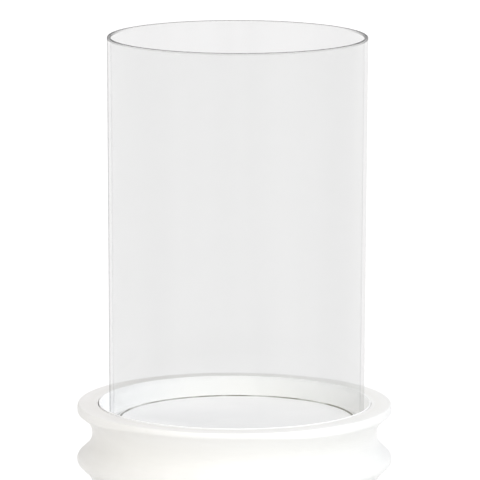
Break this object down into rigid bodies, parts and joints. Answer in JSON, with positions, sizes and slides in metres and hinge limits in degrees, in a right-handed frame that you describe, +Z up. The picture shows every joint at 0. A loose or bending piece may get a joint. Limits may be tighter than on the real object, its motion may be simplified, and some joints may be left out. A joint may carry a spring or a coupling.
{
  "type": "hurricane candle lantern",
  "caption": "Open clear glass cylinder standing loose in the steel-lined recess of a white turned wooden drum with coves and rounded ridges, with a lift-out candle plate.",
  "frame": {"origin": "on the drum's axis, at the level that the undersides of the felt pads stand on", "axes": "+Z up along the drum's axis; -Y is the front; the glass stands 1.4 mm off the axis towards +X"},
  "size_m": [0.185, 0.185, 0.3464],
  "materials": {
    "clear_glass": "clear, smooth, with fire-polished rims",
    "enamelled_steel": "pale satin enamel",
    "white_painted_wood": "white satin paint over filled, turned wood",
    "birch_plywood": "sanded and sealed",
    "zinc_plated_steel": "bright zinc plate",
    "beech": "raw",
    "grey_felt": "pressed felt"
  },
  "bodies": {
    "base": {"cup_section": "white_painted_wood", "recess_liner": "enamelled_steel", "upper_ring": "white_painted_wood", "lower_ring": "white_painted_wood", "foot_ring": "white_painted_wood", "base_disc": "birch_plywood", "tie_rod": "zinc_plated_steel", "top_washer": "zinc_plated_steel", "top_nut": "zinc_plated_steel", "bottom_washer": "zinc_plated_steel", "bottom_nut": "zinc_plated_steel", "upper_dowels": "beech", "middle_dowels": "beech", "lower_dowels": "beech", "felt_pad_1": "grey_felt", "felt_pad_2": "grey_felt", "felt_pad_3": "grey_felt", "felt_pad_4": "grey_felt"},
    "glass": {"hurricane_glass": "clear_glass"},
    "plate": {"candle_plate": "enamelled_steel"}
  },
  "joints": [
    {"name": "glass_lift", "type": "slide", "parent": "base", "child": "glass", "axis": [0, 0, 1], "range_m": [0, 0.25]},
    {"name": "plate_lift", "type": "slide", "parent": "base", "child": "plate", "axis": [0, 0, 1], "range_m": [0, 0.25]}
  ]
}
